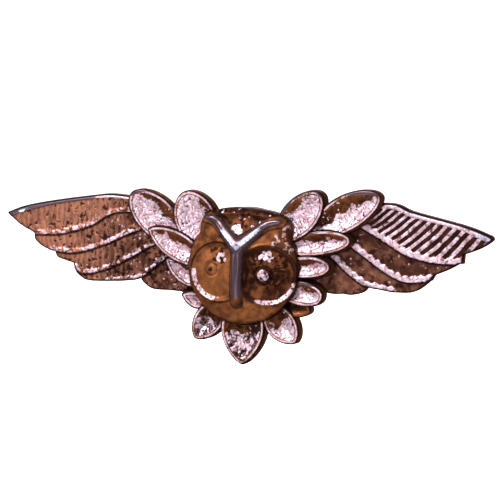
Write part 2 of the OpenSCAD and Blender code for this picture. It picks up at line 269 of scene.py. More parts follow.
def veins(x, z, size, seed):
    """Thin wandering lines: 1 on a line and 0 between the lines."""
    return 1 - ramp(np.abs(rough(x, z, size, seed)), 0.03, 0.16)


def new_marks(x):
    return {name: np.zeros(x.shape) for name in MARKS}


def paint(marks, name, amount):
    marks[name] = np.maximum(marks[name], amount)


# ---- wing plate ----

LEAD_W = 0.7            # width of the rolled leading edge
OUTLINE_W = 0.34        # width of the dark line round everything
BARB_STEP = 0.85        # from one upright barb of the left wing to the next
BAR_STEP = 1.72         # from one slanting bar of the right wing to the next


def row_polygon(lead, rows, i):
    """The closed outline of one row of feathers: its free ends, its lower edge and a lid."""
    edge = curve(rows[i][1])
    top = curve(lead) if i == 0 else [[rows[i][1][-1][0], 7], [rows[i - 1][1][3][0], 7.5]]
    return np.vstack([curve(rows[i][0]), edge, top])


def left_field(x, z, row):
    """Fine upright barbs, amber outside and darker towards the ruff."""
    inward = 1 - ramp(np.abs(x), 16, 34)
    sway = 0.35 * noise(x, z, 2.2, 3)
    wave = np.sin((x + 0.1 * z + sway) * 2 * math.pi / BARB_STEP)
    strength = 0.55 + 0.45 * noise(x, z, 2.5, 4)
    lift = 0.09 * wave * strength + 0.06 * rough(x, z, 0.5, 5)
    strokes = rough(x, z / 4, 0.26, 9)
    dots = ramp(rough(x, z, 0.5, 6) - 0.4 + 0.2 * inward, 0, 0.15)
    pits = np.maximum(dots, 0.8 * ramp(strokes, 0.28, 0.45))
    sparks = ramp(rough(x, z, 0.45, 7) - 0.72 + 0.25 * inward, 0, 0.15)
    glints = np.maximum(sparks, 0.5 * ramp(-strokes, 0.42, 0.6))
    amber = 0.85 - 0.25 * inward - 0.2 * row ** 0.5 * inward + 0.25 * wave * strength
    return lift - 0.1 * pits, 0.8 * pits, 0.75 * glints, amber + 0.3 * noise(x, z, 1.4, 8)


def right_field(x, z, row):
    """Bold slanting bars on the top row and mottled fields below it."""
    slope = np.radians(33 + 17 * np.clip((x - 20) / 14, 0, 1))
    across = x - (z - 5) / np.tan(slope) + 0.12 * noise(x, z, 1.5, 13)
    wave = np.cos(across * 2 * math.pi / BAR_STEP)
    beyond_ruff = ramp(x + 1.5 * noise(x, z, 1.2, 17), 17.5, 21)
    bars = ramp(wave, -0.15, 0.35) * (row == 0) * beyond_ruff
    grain = rough(x, z, 0.7, 14)
    lift = 0.2 * bars - 0.12 * (row == 0) + 0.08 * grain
    dark = np.where(row == 0, 0.65 * (1 - bars), 0.15 + 0.5 * ramp(grain, 0.1, 0.45))
    specks = 0.7 * ramp(rough(x, z, 0.45, 15) - 0.58, 0, 0.15)
    bright = bars * (0.72 + 0.5 * grain) + specks * (row > 0)
    amber = np.where(row == 0, 0.05, 0.09 * row - 0.1 * (x > 24)) + 0.2 * noise(x, z, 1.6, 16)
    return lift, dark, bright, amber


def edge_bead(i, x, z, on_row, off, place, knobs, shine, marks):
    """The bead along one row's lower edge: marks it, and gives its rise and what it leaves free."""
    swells, spacing, uneven, cracked = knobs
    swell = swells * np.abs(np.sin(math.pi * place / spacing + i))
    swell = swell + uneven * noise(x, z, 0.8, 20 + i)
    width = RIDGE_W * (0.5 + 0.35 * shine + swell)
    on = on_row * (off < width)
    round_top = bead(off, width) * on
    knob = 0.85 + 0.3 * rough(x, z, 0.55, 30 + i)
    holes = veins(x, z, 0.9, 40 + i) * cracked
    # The bead's top is bright: worn metal and painted highlight.
    gleam = shine + (1 - shine) * ramp(rough(x, z, 0.5, 25 + i), -0.1, 0.3)
    paint(marks, "bright", gleam * round_top ** 0.6 * (1 - holes) * on)
    paint(marks, "dark", holes * 0.7 * on)
    return RIDGE_H * 0.85 * round_top * knob, np.where(on, 1 - round_top, 1)


def wing(x, z, lead, rows, field, knobs, shine, lead_look):
    """Heights and marks of one wing's rows of feathers.

    Knobs say how the beads along each lower edge look: how far and how often they
    swell, how uneven they are and how strongly they are cracked. Shine is how bright
    the beads are at least."""
    count = len(rows)
    depths = np.array([inside_by(x, z, row_polygon(lead, rows, i))[0] for i in range(count)])
    row = np.where((depths > 0).any(axis=0), (depths > 0).argmax(axis=0), depths.argmax(axis=0))
    height = PLATE_T + (count - 1 - row) * FEATHER_STEP
    marks = new_marks(x)
    lift, dark, bright, amber = field(x, z, row)
    free = np.ones(x.shape)
    # The lowest row has no bead: its lower edge is the plate's own.
    for i in range(count - 1):
        off, _, _, place = nearest(x, z, curve(rows[i][1]), closed=False)
        # Painted shadow under each bead, on the row below it.
        paint(marks, "dark", (row == i + 1) * (1 - ramp(off, 0.1, 0.45)) * 0.95)
        rise, clear = edge_bead(i, x, z, row == i, off, place, knobs, shine, marks)
        height = height + rise
        free = np.minimum(free, clear)
    off = nearest(x, z, curve(lead), closed=False)[0]
    edge_w, edge_bright, edge_patina_and_reflection = lead_look(x, z, off)
    on_lead = (row == 0) * (off < edge_w)
    height = height + 0.3 * bead(off, edge_w) * on_lead
    free = np.where(on_lead, 0, free)
    height = height + lift * free
    paint(marks, "dark", dark * free)
    paint(marks, "bright", bright * free)
    marks["amber"] = amber
    paint(marks, "bright", edge_bright * on_lead)
    marks["steel"] = edge_patina_and_reflection * on_lead
    marks["dark"] = np.where(on_lead, 0.15 * (1 - edge_bright), marks["dark"])
    return height, marks


def left_lead_look(x, z, off):
    """A gunmetal roll over the outer wing, dark patina coloured as a painted reflection, and a thin bright
    bead nearer the ruff.
    """
    outer = ramp(-x, 22, 26)
    width = LEAD_W - 0.1 + 0.3 * ramp(-x, 29, 35)
    spots = ramp(rough(x, z, 0.8, 60), -0.1, 0.15)
    glint = spots * ramp(-x, 32.5, 34.5) * ramp(off, 0.35, 0.5)
    bright = (1 - outer) * ramp(off, 0.22, 0.34) + glint
    return width, bright, np.maximum(outer, 1 - ramp(off, 0.2, 0.3))


def right_lead_look(x, z, off):
    """A bright bead along the whole edge that dulls towards gunmetal at the tip, dark patina coloured as a
    painted reflection.
    """
    outer = ramp(x, 33.5, 36.5)
    width = LEAD_W + 0.15 + 0.25 * outer
    bright = ramp(off, 0.22, 0.34) * (1 - 0.3 * outer) * (0.8 + 0.5 * rough(x, z, 0.5, 61))
    return width, bright, np.maximum(0.5 * outer, 1 - ramp(off, 0.2, 0.3))


def head_line(grow=0.0):
    """The head's outline as two overlapping closed lines: a circle and the crown."""
    turn = np.linspace(0, 2 * math.pi, 120, endpoint=False)
    circle = np.array(HEAD_AT) + (HEAD_R + grow) * np.column_stack([np.cos(turn), np.sin(turn)])
    crown = np.array(HEAD_AT) + curve(np.array(CROWN_LINE) * (1 + grow / HEAD_R))
    return [circle, crown]


def ruff_lines(grow=0.0):
    """The outlines whose union is the ruff's."""
    return [petal_line(p, grow) for p in PETALS] + head_line(grow)


WING_LINES = ([row_polygon(LEFT_LEAD, LEFT_ROWS, i) for i in range(len(LEFT_ROWS))]
              + [row_polygon(RIGHT_LEAD, RIGHT_ROWS, i) for i in range(len(RIGHT_ROWS))]
              + ruff_lines(-0.25) + head_line(0.5)[:1])


def wing_outline(x, z):
    return deepest(x, z, WING_LINES)


def wing_surface(x, z):
    """Height in front of the flat back, and marks, of the whole wing plate."""
    left = wing(x, z, LEFT_LEAD, LEFT_ROWS, left_field,
                knobs=(0.18, 1.35, 0.2, 0.95), shine=0.42, lead_look=left_lead_look)
    right = wing(x, z, RIGHT_LEAD, RIGHT_ROWS, right_field,
                 knobs=(0.3, 1.3, 0.12, 0.45), shine=0.95, lead_look=right_lead_look)
    height = np.where(x < 0, left[0], right[0])
    marks = {name: np.where(x < 0, left[1][name], right[1][name]) for name in MARKS}
    edge = wing_outline(x, z)[0]
    height = height - 0.3 * (1 - ramp(edge, 0, 0.45))
    marks["dark"] = np.maximum(marks["dark"], 0.9 * (1 - ramp(edge, 0.1, OUTLINE_W)))
    # Painted shade where the wing runs in under the ruff.
    under = deepest(x, z, ruff_lines())[0]
    marks["dark"] = np.maximum(marks["dark"], 0.8 * ramp(under, -0.45, -0.1))
    marks["bright"] = marks["bright"] * (1 - marks["dark"] * (edge < OUTLINE_W))
    height = np.where(under > 0, PLATE_T, np.clip(height, PLATE_T - 0.3, WING_TOP))
    return height, marks


# ---- petal ruff ----

FLANK_W = 0.32          # how far a petal's crest stands in from its outline
FLANK_FALL = 0.9        # how far the flank falls from the crest to the outline
RIM_W = 0.6             # where the hollow begins
HOLLOW_D = 0.95         # depth of the hollow in the middle
LAYER_STEP = 0.28       # each layer of petals lies this far behind the next
RIM_LINE_AT = 0.24      # the bright line on the rim starts here
RIM_LINE_W = 0.36
DULL_PETALS = (8,)      # half hidden, and its painted highlight and worn brightness kept low
PITTED_PETALS = {5: -0.25, 6: 0.0}      # pitted all over: the lower the value, the more


def petal_profile(depth, half_w, top):
    """Height of a petal at a depth in from its outline: flank, crest, then hollow."""
    flank = top - FLANK_FALL * (1 - np.sqrt(1 - (1 - np.clip(depth / FLANK_W, 0, 1)) ** 2))
    hollow = HOLLOW_D * ramp(depth, RIM_W - 0.15, RIM_W + 0.7 * half_w)
    return np.where(depth < FLANK_W, flank, top - hollow)


def petal_rise(petal, x, z):
    """How far up a petal's hollow a point is: below 0 on its lower, brighter side."""
    root, tip = np.array(petal[0:2], float), np.array(petal[2:4], float)
    u = (tip - root) / np.linalg.norm(tip - root)
    across = np.array([-u[1], u[0]]) * np.sign(u[0])
    hangs = ramp(-u[1], 0.3, 0.8)
    up = across * (1 - hangs) - u * hangs
    middle = root + 0.62 * (tip - root)
    return ((x - middle[0]) * up[0] + (z - middle[1]) * up[1]) / petal[4]


def ruff_outline(x, z):
    """The petals and the head's seat together, less the round hole in the middle."""
    depth, in_x, in_z = deepest(x, z, ruff_lines())
    out_x, out_z = x - HEAD_AT[0], z - HEAD_AT[1]
    away = np.hypot(out_x, out_z)
    hole = away - RUFF_HOLE_R
    nearer = hole < depth
    scale = 1 / np.maximum(away, 1e-9)
    return (np.where(nearer, hole, depth), np.where(nearer, out_x * scale, in_x),
            np.where(nearer, out_z * scale, in_z))


def petal_looks(index, x, z, depth, in_z):
    """How one petal's hollow is roughened, and the petal's marks."""
    petal = PETALS[index]
    # The lower half of each hollow faces up to the light and gets a painted highlight; upright petals get
    # it over more of their width.
    lean = math.atan2(petal[3] - petal[1], abs(petal[2] - petal[0]))
    limit = 0.12 + 0.35 * ramp(lean, math.radians(38), math.radians(48))
    rise = petal_rise(petal, x, z) + 0.3 * rough(x, z, 1.2, 60 + index)
    facing_up = 1 - ramp(rise, limit, limit + 0.25)
    hollow = ramp(depth, RIM_W, RIM_W + 0.18)
    lines = veins(x, z, 0.55, 70 + index)
    pits = ramp(rough(x, z, 0.3, 90 + index), 0.28, 0.5)
    pit_dark = 0.3
    if index in PITTED_PETALS:
        start = PITTED_PETALS[index]
        pits = np.maximum(pits, ramp(rough(x, z, 0.6, 180 + index), start, start + 0.16))
        pit_dark = 0.6
    sunk = 0.1 * lines * facing_up + 0.1 * pits * (1 - 0.6 * facing_up)
    relief_of_hollow = hollow * (0.06 * rough(x, z, 0.5, 110 + index) - sunk)
    rim = bead(depth - RIM_LINE_AT, RIM_LINE_W) * (depth > RIM_LINE_AT)
    rim = rim * (depth < RIM_LINE_AT + RIM_LINE_W) * (0.7 + 0.4 * rough(x, z, 1.2, 130))
    # Painted highlight on the upward-facing half of the hollow, broken by veins and pits.
    highlight_and_wear = hollow * facing_up * (1 - 0.5 * lines) * (1 - 0.5 * pits)
    bright = np.maximum(highlight_and_wear, rim) * (0.25 if index in DULL_PETALS else 1)
    flecks = 0.8 * ramp(rough(x, z, 0.4, 140 + index), 0.5, 0.62)
    bright = np.maximum(bright, hollow * (1 - facing_up) * flecks)
    # Crests that face up are coloured gunmetal: dark patina with a painted reflection.
    crest_patina_and_reflection = ramp(-in_z, 0.25, 0.6) * (depth < 0.4 + 0.3 * noise(x, z, 2.5, 160))
    return relief_of_hollow, {
        "bright": bright * (1 - 0.75 * crest_patina_and_reflection),
        "dark": np.maximum(1 - ramp(depth, 0.1, 0.32), hollow * (0.3 * lines + pit_dark * pits)),
        "steel": crest_patina_and_reflection,
        "amber": 0.45 + 0.3 * noise(x, z, 1.5, 150) - 0.15 * hollow + 0.15 * (depth < FLANK_W),
    }


def ruff_surface(x, z):
    """Height in front of the flat back, and marks, of the whole ruff."""
    height = np.full(x.shape, RIM_TOP - FLANK_FALL)
    marks = new_marks(x)
    marks["amber"][:] = 0.5
    for index in sorted(range(len(PETALS)), key=lambda k: PETALS[k][8]):
        petal = PETALS[index]
        depth, _, in_z = inside_by(x, z, petal_line(petal))
        inner = depth > 0
        top = RIM_TOP - LAYER_STEP * (2 - petal[8])
        shape = petal_profile(depth, petal[4], top)
        climb = np.maximum(shape, np.minimum(height, top - 0.12))
        roughness, looks = petal_looks(index, x, z, depth, in_z)
        height = np.where(inner, np.where(depth < FLANK_W, climb, shape + roughness), height)
        for name in MARKS:
            marks[name] = np.where(inner, looks[name], marks[name])
    under_head = deepest(x, z, head_line(-0.3))[0]
    height = np.where(under_head > 0, RIM_TOP - 0.02, height)
    # Painted shadow of the head on the ruff round it.
    near_head = deepest(x, z, head_line(0))[0]
    marks["dark"] = np.maximum(marks["dark"], 0.85 * ramp(near_head, -0.45, -0.08))
    return height, marks


# ---- owl head ----

DOME_R = (HEAD_R ** 2 + DOME_H ** 2) / (2 * DOME_H)
DOME_CENTRE = RIM_TOP + HEAD_RIM + DOME_H - DOME_R
BEAK_R = 0.92
BROW_R = 1.2            # at the fork
PUPIL_RISE = (0.25, 0.65)                               # how high each ball stands, per radius
DISC_AMBER = (0.3, -0.3)                                # how much lighter each disc's floor is
CRESCENTS = [[-0.75, -0.66], [0.45, -0.9]]              # the way that each dish's wall takes its painted highlight
PITTED = [[-3.5, 2.2, 2.0], [4.0, 0.6, 4.6]]            # rough patches, as [x, z, radius]
GLINTS = [[-2.9, 1.5, 0.9], [3.7, 2.0, 1.5]]
BLUSH = [6.9, 4.6, 2.3]                                 # a rosy, lighter patch by the right eye
TUBE_LIFT = 0.02        # the brow's middle line stands this far off the face


def smooth_max(a, b, blend):
    """The larger of two heights, with a soft fillet where they cross."""
    mix = np.clip(0.5 + (a - b) / (2 * blend), 0, 1)
    return b + (a - b) * mix + blend * mix * (1 - mix)


def tube(x, z, line, radius_at, face):
    """A rounded roll along a line on the face: its height, and 1 on it and 0 off it."""
    off, _, _, place = nearest(x, z, line, closed=False)
    radius = radius_at(place)
    rise = np.sqrt(np.maximum(radius ** 2 - off ** 2, 0))
    fall = 0.6 * np.maximum(off - radius, 0)
    return face + TUBE_LIFT + rise - fall, ramp(radius - off, -0.12, 0.15)


def head_outline(x, z):
    return deepest(x, z, head_line())


def patch(x, z, spot):
    """1 within a round spot [x, z, radius] and 0 well outside it, with a wavy edge."""
    away = np.hypot(x - spot[0], z - spot[1]) / spot[2]
    return 1 - ramp(away + 0.3 * rough(x, z, 0.9, 260), 0.7, 1.1)


def eye_dish(x, z, middle, dome):
    """A round dish set in the face, with its rim, its steep wall and a low domed floor."""
    away = np.hypot(x - middle[0], z - middle[1])
    wall = ramp(EYE_R - away, 0.05, 1.15)
    lip = np.exp(-((away - EYE_R + 0.05) / 0.3) ** 2)
    return dome - (EYE_DEPTH + 0.2) * wall + 0.12 * lip, away


def add_eye(index, px, pz, dome, height, marks):
    """Sets one eye's dish in the face and marks it; gives the new height.

    The left disc is amber and smooth, the right one darker and more pitted."""
    eye = EYES[index]
    dish, away = eye_dish(px, pz, eye, dome)
    height = np.where(away < EYE_R + 0.8, dish, height)
    on_floor = ramp(EYE_R - away, 0.7, 0.95)
    in_wall = ramp(EYE_R - away, 0.15, 0.3) * (1 - ramp(EYE_R - away, 0.8, 1.0))
    # The wall gets a painted highlight in a crescent on its lower, outer side, the side that faces up to
    # the light.
    turn_x, turn_z = (px - eye[0]) / np.maximum(away, 0.1), (pz - eye[1]) / np.maximum(away, 0.1)
    towards = CRESCENTS[index][0] * turn_x + CRESCENTS[index][1] * turn_z
    crescent = ramp(towards + 0.2 * rough(px, pz, 0.7, 210 + index), 0.6, 0.8)
    cracks = veins(px, pz, 0.5, 214 + index)
    shine = (0.8 + 0.4 * rough(px, pz, 0.35, 212 + index)) * (1 - 0.5 * cracks)
    paint(marks, "bright", in_wall * crescent * shine)
    paint(marks, "dark", 0.5 * in_wall * crescent * cracks)
    # The right dish's wall gets painted shade away from its crescent.
    if index == 1:
        paint(marks, "dark", 0.75 * in_wall * (1 - crescent))
    else:
        paint(marks, "dark", 0.35 * veins(px, pz, 0.7, 216) * on_floor)
    shade = (1 - ramp(np.abs(EYE_R - away - 0.1), 0.05, 0.3)) * 0.8
    paint(marks, "dark", shade * (1 - 0.5 * crescent))
    # The floor is pitted in one patch and glints in another.
    pits = ramp(rough(px, pz, 0.45, 220 + index), -0.1, 0.15) * patch(px, pz, PITTED[index]) * on_floor
    glints = ramp(rough(px, pz, 0.6, 230 + index), 0.0, 0.12) * patch(px, pz, GLINTS[index]) * on_floor
    height = height - 0.1 * pits + 0.05 * glints
    marks["bright"] = marks["bright"] * (1 - pits)
    paint(marks, "dark", 0.8 * pits * (1 - glints))
    paint(marks, "bright", glints)
    marks["amber"] = marks["amber"] + DISC_AMBER[index] * on_floor
    return height


def add_pupil(index, px, pz, height, marks):
    """Sets one pupil in its disc, a low ball in a groove; gives the new height.

    The left pupil has a dark dot and a small painted glint, the right one a painted highlight on its top."""
    pupil, pupil_r = PUPILS[index], PUPIL_R[index]
    ball = np.hypot(px - pupil[0], pz - pupil[1])
    rise = np.sqrt(np.maximum(pupil_r ** 2 - ball ** 2, 0)) * PUPIL_RISE[index]
    ring = np.exp(-((ball - pupil_r - 0.2) / 0.2) ** 2)
    height = height + rise - 0.12 * ring
    # Painted shadow in the groove round the ball.
    paint(marks, "dark", 0.85 * ring * (0.6 + 0.4 * index))
    if index == 1:
        # Painted highlight on the right ball's top.
        top = 0.8 * ramp(pupil_r - ball, 0.1, 0.5) * (0.8 + 0.4 * rough(px, pz, 0.4, 240))
        marks["bright"] = np.where(ball < pupil_r, top, marks["bright"])
    else:
        marks["dark"] = np.where(ball < 0.34, 0.95, marks["dark"] * (ball > 0.5))
        glint = np.hypot(px - pupil[0] + 0.1, pz - pupil[1] - 0.18) < 0.16
        marks["bright"] = np.where(glint, 1, marks["bright"])
    return height


def add_cap(px, pz, height, marks):
    """The cap between the brow's two arms is dark and pitted, flecked with painted glints and one brighter
    glint patch; one patch beside it blushes.
    """
    cap = ramp(pz - 3.4 - 0.95 * np.abs(px), 0, 0.5)
    pits = ramp(rough(px, pz, 0.6, 250), 0.0, 0.35)
    # Painted glints: flecks on the cap and one brighter patch above the fork.
    flecks = ramp(rough(px, pz, 0.6, 251), 0.4, 0.5) * cap
    in_spot = np.hypot((px + 0.1) / 1.7, (pz - 5.7) / 1.0) < 1
    crown_glint = cap * in_spot * ramp(rough(px, pz, 0.7, 252), -0.1, 0.1)
    height = height - 0.12 * cap * pits + 0.05 * np.maximum(flecks, crown_glint)
    paint(marks, "dark", cap * (0.5 + 0.35 * pits) * (1 - flecks))
    paint(marks, "bright", np.maximum(flecks * 0.6, crown_glint))
    marks["dark"] = marks["dark"] * (1 - crown_glint)
    marks["amber"] = marks["amber"] - 0.3 * cap
    flush = patch(px, pz, BLUSH) * ramp(rough(px, pz, 0.5, 255), -0.05, 0.25) * (1 - cap)
    paint(marks, "bright", 0.55 * flush)
    paint(marks, "dark", 0.5 * patch(px, pz, BLUSH) * (1 - flush))
    return height


def beak_radius(place):
    """The beak is slimmer halfway down."""
    return BEAK_R - 0.14 * np.sin(math.pi * np.clip(place / 8.2, 0, 1))


def brow_radius(place):
    """The brow's arms taper outwards from the fork."""
    return BROW_R - 0.11 * np.clip(place, 0, 9)


def add_brow(px, pz, face, height, marks):
    """The brow and the beak are one smooth polished roll with a dark line along its foot."""
    rolls = [tube(px, pz, np.array(BEAK_LINE, float), beak_radius, face)]
    rolls += [tube(px, pz, curve(line), brow_radius, face) for line in BROW_LINES]
    smooth = np.zeros(px.shape)
    for roll, on in rolls:
        height = smooth_max(height, roll, 0.3)
        smooth = np.maximum(smooth, on)
    for name in ("bright", "dark"):
        marks[name] = marks[name] * (1 - smooth)
    # Painted highlight along the top of the brow's arms.
    to_arms = [nearest(px, pz + 0.15, curve(line), closed=False)[0] for line in BROW_LINES]
    brow_highlight = 1 - ramp(np.min(to_arms, axis=0), 0.1, 0.5)
    paint(marks, "bright", 0.75 * brow_highlight * smooth * ramp(7.2 - np.abs(px) - pz / 2, -1, 2.5))
    # The rolls are coloured gunmetal, with silver under the highlight: dark patina with a painted
    # reflection.
    marks["steel"] = smooth * ramp(pz, -5.6, -3.2)
    marks["amber"] = np.where(smooth > 0.5, 0.35, marks["amber"])
    to_rolls = [nearest(px, pz, curve(line), closed=False)[0] for line in [BEAK_LINE] + BROW_LINES]
    foot = 1 - ramp(np.min([np.abs(off - 1.0) for off in to_rolls], axis=0), 0.02, 0.25)
    paint(marks, "dark", 0.75 * foot * (1 - smooth))
    return height


def head_surface(x, z):
    """Height in front of the flat back, and marks, of the owl's head."""
    px, pz = x - HEAD_AT[0], z - HEAD_AT[1]
    dome = DOME_CENTRE + np.sqrt(np.maximum(DOME_R ** 2 - px ** 2 - pz ** 2, 0))
    crown_depth = inside_by(px, pz, curve(CROWN_LINE))[0]
    crown = RIM_TOP + CROWN_H - 0.5 * (1 - ramp(crown_depth, 0, 0.9)) - FAR * (crown_depth < -1)
    face = smooth_max(dome, crown, 0.3)
    height = face.copy()
    marks = new_marks(x)
    marks["amber"][:] = 0.42 + 0.2 * noise(px, pz, 1.8, 200) + 0.1 * rough(px, pz, 0.5, 201)
    for index in (0, 1):
        height = add_eye(index, px, pz, dome, height, marks)
        height = add_pupil(index, px, pz, height, marks)
    height = add_cap(px, pz, height, marks)
    height = add_brow(px, pz, face, height, marks)
    edge = head_outline(x, z)[0]
    height = height - 0.45 * (1 - np.sqrt(1 - (1 - np.clip(edge / 0.5, 0, 1)) ** 2))
    paint(marks, "dark", 0.8 * (1 - ramp(edge, 0.02, 0.16)))
    return np.clip(height, RIM_TOP + 0.05, HEAD_TOP), marks


# ---- building a relief as a mesh ----

POCKET_SIDES = 72
BACK_AMBER = 0.65       # how amber the side walls' feet and the back are
SHARP_EDGE = math.radians(62)


def front_grid(box, cell, outline):
    """Triangles of a square grid inside an outline, with the outermost points moved onto it."""
    low, high = box
    xs = np.arange(low[0] - 2 * cell, high[0] + 2 * cell, cell)
    zs = np.arange(low[1] - 2 * cell, high[1] + 2 * cell, cell)
    x, z = [a.ravel() for a in np.meshgrid(xs, zs)]
    depth = outline(x, z)[0]
    near = np.abs(depth) < 0.71 * cell
    for _ in range(2):
        d, gx, gz = outline(x[near], z[near])
        x[near], z[near] = x[near] - d * gx, z[near] - d * gz
    depth[near] = 0
    column, line = np.meshgrid(np.arange(len(xs) - 1), np.arange(len(zs) - 1))
    a = (line * len(xs) + column).ravel()
    b, c, d = a + 1, a + len(xs) + 1, a + len(xs)
    flip = ((column + line) % 2).ravel()[:, None]
    first = np.where(flip, np.column_stack([a, b, c]), np.column_stack([a, b, d]))
    second = np.where(flip, np.column_stack([a, c, d]), np.column_stack([b, c, d]))
    faces = np.vstack([first, second])
    faces = faces[(depth[faces] >= 0).all(axis=1)]
    middle = outline(x[faces].mean(axis=1), z[faces].mean(axis=1))[0]
    area = ((x[faces[:, 1]] - x[faces[:, 0]]) * (z[faces[:, 2]] - z[faces[:, 0]])
            - (x[faces[:, 2]] - x[faces[:, 0]]) * (z[faces[:, 1]] - z[faces[:, 0]]))
    faces = faces[(middle > 0) & (area > 1e-5)]
    used, faces = np.unique(faces, return_inverse=True)
    return x[used], z[used], faces.reshape(-1, 3)


def open_edges(faces):
    """The directed edges that only one triangle has."""
    edges = {tuple(e) for f in faces.tolist() for e in ((f[0], f[1]), (f[1], f[2]), (f[2], f[0]))}
    return [e for e in edges if (e[1], e[0]) not in edges]


def flat_fill(points, edges):
    """Triangles that fill the area between closed loops of directed edges."""
    used = sorted({v for e in edges for v in e})
    spot = {v: i for i, v in enumerate(used)}
    borders = [(spot[a], spot[b]) for a, b in edges]
    found = delaunay_2d_cdt([Vector(p) for p in points[used]], borders, [], 0, 1e-7)
    triangles, sources = found[2], found[3]
    known = [f for f in triangles if all(sources[v] for v in f)]
    corners = np.array([[used[sources[v][0]] for v in f] for f in known])
    x, z = points[corners].mean(axis=1).T
    inside = np.zeros(len(corners), bool)
    for (ax, az), (bx, bz) in zip(points[[e[0] for e in edges]], points[[e[1] for e in edges]]):
        if az != bz:
            inside ^= ((az > z) != (bz > z)) & (x < (bx - ax) * (z - az) / (bz - az) + ax)
    return corners[inside].tolist()


def round_pocket(middle, rings, count):
    """A pocket of rings [radius, level] whose points are numbered from count.

    Gives its points, its faces and the edges of its mouth, which lies in the back."""
    turn = np.linspace(0, 2 * math.pi, POCKET_SIDES, endpoint=False)
    points, faces, mouth, before = [], [], [], None
    for radius, level in rings:
        points.append(np.column_stack([middle[0] + radius * np.cos(turn), np.full(POCKET_SIDES, -level),
                                       middle[1] + radius * np.sin(turn)]))
        here = list(range(count, count + POCKET_SIDES))
        if before:
            faces += [[before[i - 1], before[i], here[i], here[i - 1]] for i in range(POCKET_SIDES)]
        else:
            mouth = [(here[i - 1], here[i]) for i in range(POCKET_SIDES)]
        before = here
        count += POCKET_SIDES
    return points, faces + [before], mouth


def marked_mesh(name, verts, faces, marks):
    """A mesh with the marks on its front, and plain amber on its sides' feet and back.

    The wing plate's faces come out of this turned inwards."""
    mesh = bpy.data.meshes.new(name)
    mesh.from_pydata((verts * MM).tolist(), [], faces)
    for mark in MARKS:
        values = np.full(len(verts), BACK_AMBER if mark == "amber" else 0.0)
        values[:len(marks[mark])] = np.clip(marks[mark], 0, 1)
        mesh.attributes.new(mark, "FLOAT", "POINT").data.foreach_set("value", values)
    bm = bmesh.new()
    bm.from_mesh(mesh)
    bmesh.ops.recalc_face_normals(bm, faces=bm.faces)
    bm.to_mesh(mesh)
    bm.free()
    mesh.shade_smooth()
    mesh.set_sharp_from_angle(angle=SHARP_EDGE)
    return mesh


def relief(name, cell, outline, surface, lines, base, pockets=()):
    """A relief in front, side walls and a flat back with round pockets.

    Where points of the rim bunch up, tiny gaps and folds stay between walls and back."""
    points = np.vstack(lines)
    x, z, faces = front_grid((points.min(axis=0), points.max(axis=0)), cell, outline)
    height, marks = surface(x, z)
    edges = open_edges(faces)
    rim = sorted({v for e in edges for v in e})
    spot = {v: i for i, v in enumerate(rim)}
    count = len(x) + len(rim)
    verts = [np.column_stack([x, -height, z]), np.column_stack([x[rim], np.full(len(rim), -base), z[rim]])]
    foot = [(len(x) + spot[a], len(x) + spot[b]) for a, b in edges]
    solid = faces.tolist() + [[b, a, c, d] for (a, b), (c, d) in zip(edges, foot)]
    for middle, rings in pockets:
        ring_points, sides, mouth = round_pocket(middle, rings, count)
        verts += ring_points
        solid += sides
        foot += mouth
        count += POCKET_SIDES * len(rings)
    verts = np.vstack(verts)
    solid += flat_fill(verts[:, [0, 2]], foot)
    piece = bpy.data.objects.new(name, marked_mesh(name, verts, solid, marks))
    bpy.context.collection.objects.link(piece)
    return piece


# ---- materials ----


def srgb(red, green, blue):
    """A colour given in ordinary 0 to 255 values, as the shader's linear one."""
    values = [v / 255 for v in (red, green, blue)]
    return (*[v / 12.92 if v <= 0.04045 else ((v + 0.055) / 1.055) ** 2.4 for v in values], 1)


class Shading:
    """Builds one material's nodes, each with plain inputs or links."""

    def __init__(self, name):
        self.material = bpy.data.materials.new(name)
        self.material.use_nodes = True
        self.tree = self.material.node_tree
        self.shader = self.tree.nodes["Principled BSDF"]
        self.place = self.add("ShaderNodeTexCoord").outputs["Object"]

    def put(self, socket, value):
        if isinstance(value, bpy.types.NodeSocket):
            self.tree.links.new(value, socket)
        else:
            socket.default_value = value

    def add(self, kind, inputs=None, **settings):
        node = self.tree.nodes.new(kind)
        for name, value in settings.items():
            setattr(node, name, value)
        for name, value in (inputs or {}).items():
            self.put(node.inputs[name], value)
        return node

    def mark(self, name):
        return self.add("ShaderNodeAttribute", attribute_name=name).outputs["Fac"]

    def maths(self, operation, a, b=0.0, clamp=False):
        return self.add("ShaderNodeMath", {0: a, 1: b}, operation=operation, use_clamp=clamp).outputs[0]

    def noise(self, size, detail=3.0, stretch=(1, 1, 1)):
        """Noise with bumps about size metres wide, drawn out by stretch."""
        where = self.add("ShaderNodeMapping", {"Vector": self.place, "Scale": stretch}).outputs[0]
        inputs = {"Vector": where, "Scale": 1 / size, "Detail": detail}
        return self.add("ShaderNodeTexNoise", inputs).outputs["Fac"]

    def spread(self, value, low, high, to_low=0.0, to_high=1.0):
        inputs = {"Value": value, 1: low, 2: high, 3: to_low, 4: to_high}
        return self.add("ShaderNodeMapRange", inputs, interpolation_type="SMOOTHSTEP").outputs[0]

    def mix(self, amount, a, b):
        node = self.add("ShaderNodeMix", {0: amount, 6: a, 7: b}, data_type="RGBA")
        return node.outputs[2]

    def bump(self, height, distance, strength=1.0):
        node = self.add("ShaderNodeBump", {"Height": height, "Distance": distance, "Strength": strength})
        self.put(self.shader.inputs["Normal"], node.outputs[0])

    def finish(self, colour, roughness, **constants):
        self.put(self.shader.inputs["Base Color"], colour)
        self.put(self.shader.inputs["Roughness"], roughness)
        for name, value in constants.items():
            self.shader.inputs[name.replace("_", " ")].default_value = value
        return self.material


PINK = srgb(222, 200, 214)
SALMON = srgb(196, 160, 168)
RED_DUST = srgb(128, 78, 84)
